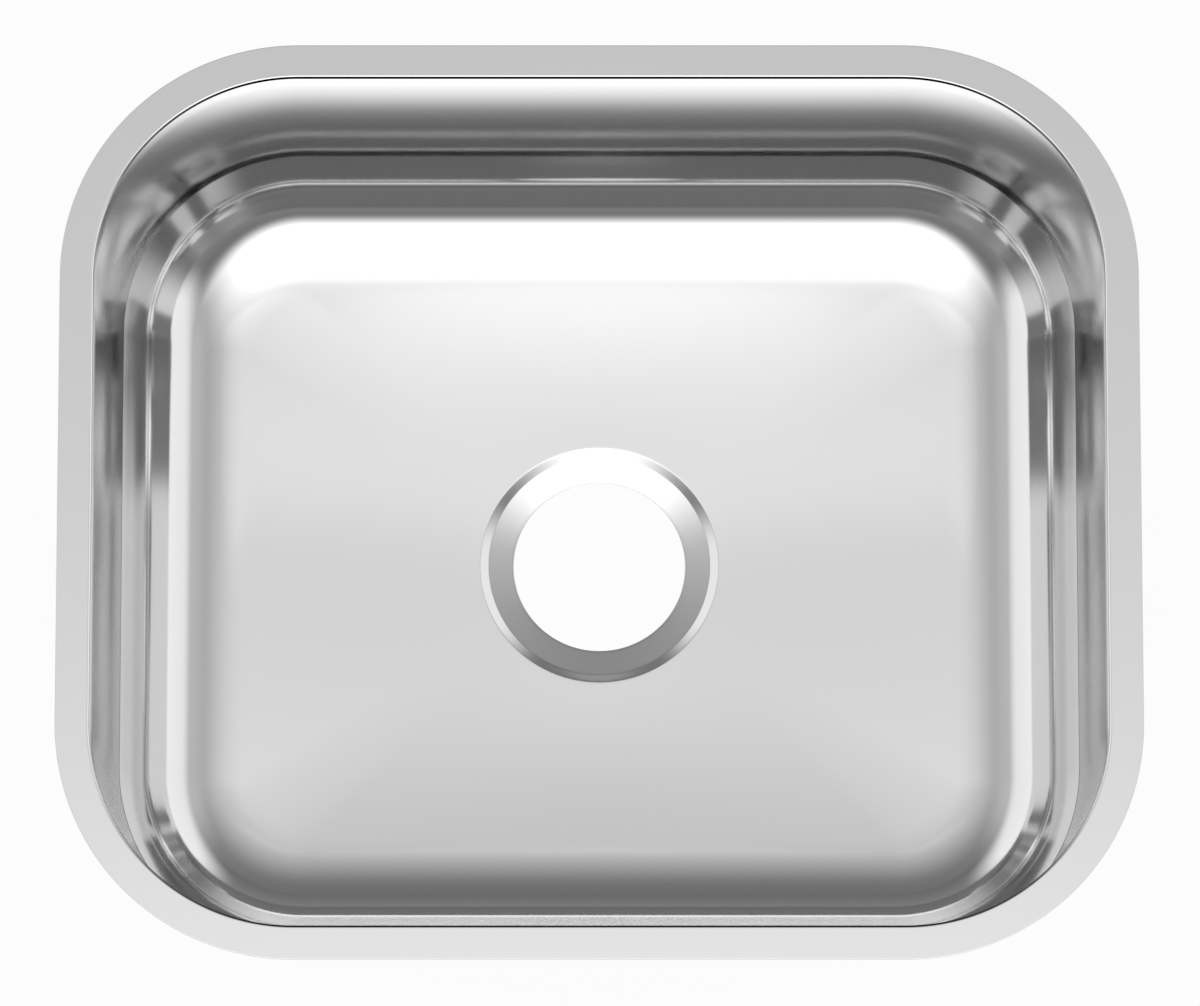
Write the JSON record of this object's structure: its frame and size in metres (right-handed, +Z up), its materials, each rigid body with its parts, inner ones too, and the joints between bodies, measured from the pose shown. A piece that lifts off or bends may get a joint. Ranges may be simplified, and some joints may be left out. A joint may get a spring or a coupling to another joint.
{
  "type": "kitchen sink bowl",
  "caption": "Inset single-bowl sink pressed from stainless sheet, with a flat flange, rounded corners, a creased wall, a recessed central drain hole and swivel clamps under the flange.",
  "frame": {"origin": "under the middle of the drain seat, on the plane that the bowl stands on", "axes": "+Z up out of the bowl, +X along the front, -Y towards the user"},
  "size_m": [0.427, 0.367, 0.1445],
  "materials": {
    "bowl_steel": "satin",
    "clamp_steel": "bright zinc plate",
    "seal_rubber": "matte foam",
    "pad_rubber": "matte"
  },
  "bodies": {
    "sink": {"bowl": "bowl_steel", "flange_seal": "seal_rubber", "base_pad": "pad_rubber", "front_pad": "pad_rubber", "rear_pad": "pad_rubber", "left_pad": "pad_rubber", "right_pad": "pad_rubber", "left_front_bracket": "clamp_steel", "left_front_nut": "clamp_steel", "left_rear_bracket": "clamp_steel", "left_rear_nut": "clamp_steel", "right_front_bracket": "clamp_steel", "right_front_nut": "clamp_steel", "right_rear_bracket": "clamp_steel", "right_rear_nut": "clamp_steel"},
    "left_front_screw": {"left_front_screw": "clamp_steel", "left_front_washer": "clamp_steel"},
    "left_front_claw": {"left_front_claw": "clamp_steel"},
    "left_rear_screw": {"left_rear_screw": "clamp_steel", "left_rear_washer": "clamp_steel"},
    "left_rear_claw": {"left_rear_claw": "clamp_steel"},
    "right_front_screw": {"right_front_screw": "clamp_steel", "right_front_washer": "clamp_steel"},
    "right_front_claw": {"right_front_claw": "clamp_steel"},
    "right_rear_screw": {"right_rear_screw": "clamp_steel", "right_rear_washer": "clamp_steel"},
    "right_rear_claw": {"right_rear_claw": "clamp_steel"}
  },
  "joints": [
    {"name": "left_front_lift", "type": "slide", "parent": "sink", "child": "left_front_screw", "axis": [0, 0, 1], "range_m": [0, 0.014]},
    {"name": "left_front_claw_swing", "type": "hinge", "parent": "left_front_screw", "child": "left_front_claw", "pos_m": [-0.20391, -0.05, 0.0916], "axis": [0, 0, 1], "range_deg": [0, 90]},
    {"name": "left_rear_lift", "type": "slide", "parent": "sink", "child": "left_rear_screw", "axis": [0, 0, 1], "range_m": [0, 0.014]},
    {"name": "left_rear_claw_swing", "type": "hinge", "parent": "left_rear_screw", "child": "left_rear_claw", "pos_m": [-0.20391, 0.05, 0.0916], "axis": [0, 0, 1], "range_deg": [0, 90]},
    {"name": "right_front_lift", "type": "slide", "parent": "sink", "child": "right_front_screw", "axis": [0, 0, 1], "range_m": [0, 0.014]},
    {"name": "right_front_claw_swing", "type": "hinge", "parent": "right_front_screw", "child": "right_front_claw", "pos_m": [0.20391, -0.05, 0.0916], "axis": [0, 0, 1], "range_deg": [0, 90]},
    {"name": "right_rear_lift", "type": "slide", "parent": "sink", "child": "right_rear_screw", "axis": [0, 0, 1], "range_m": [0, 0.014]},
    {"name": "right_rear_claw_swing", "type": "hinge", "parent": "right_rear_screw", "child": "right_rear_claw", "pos_m": [0.20391, 0.05, 0.0916], "axis": [0, 0, 1], "range_deg": [0, 90]}
  ]
}
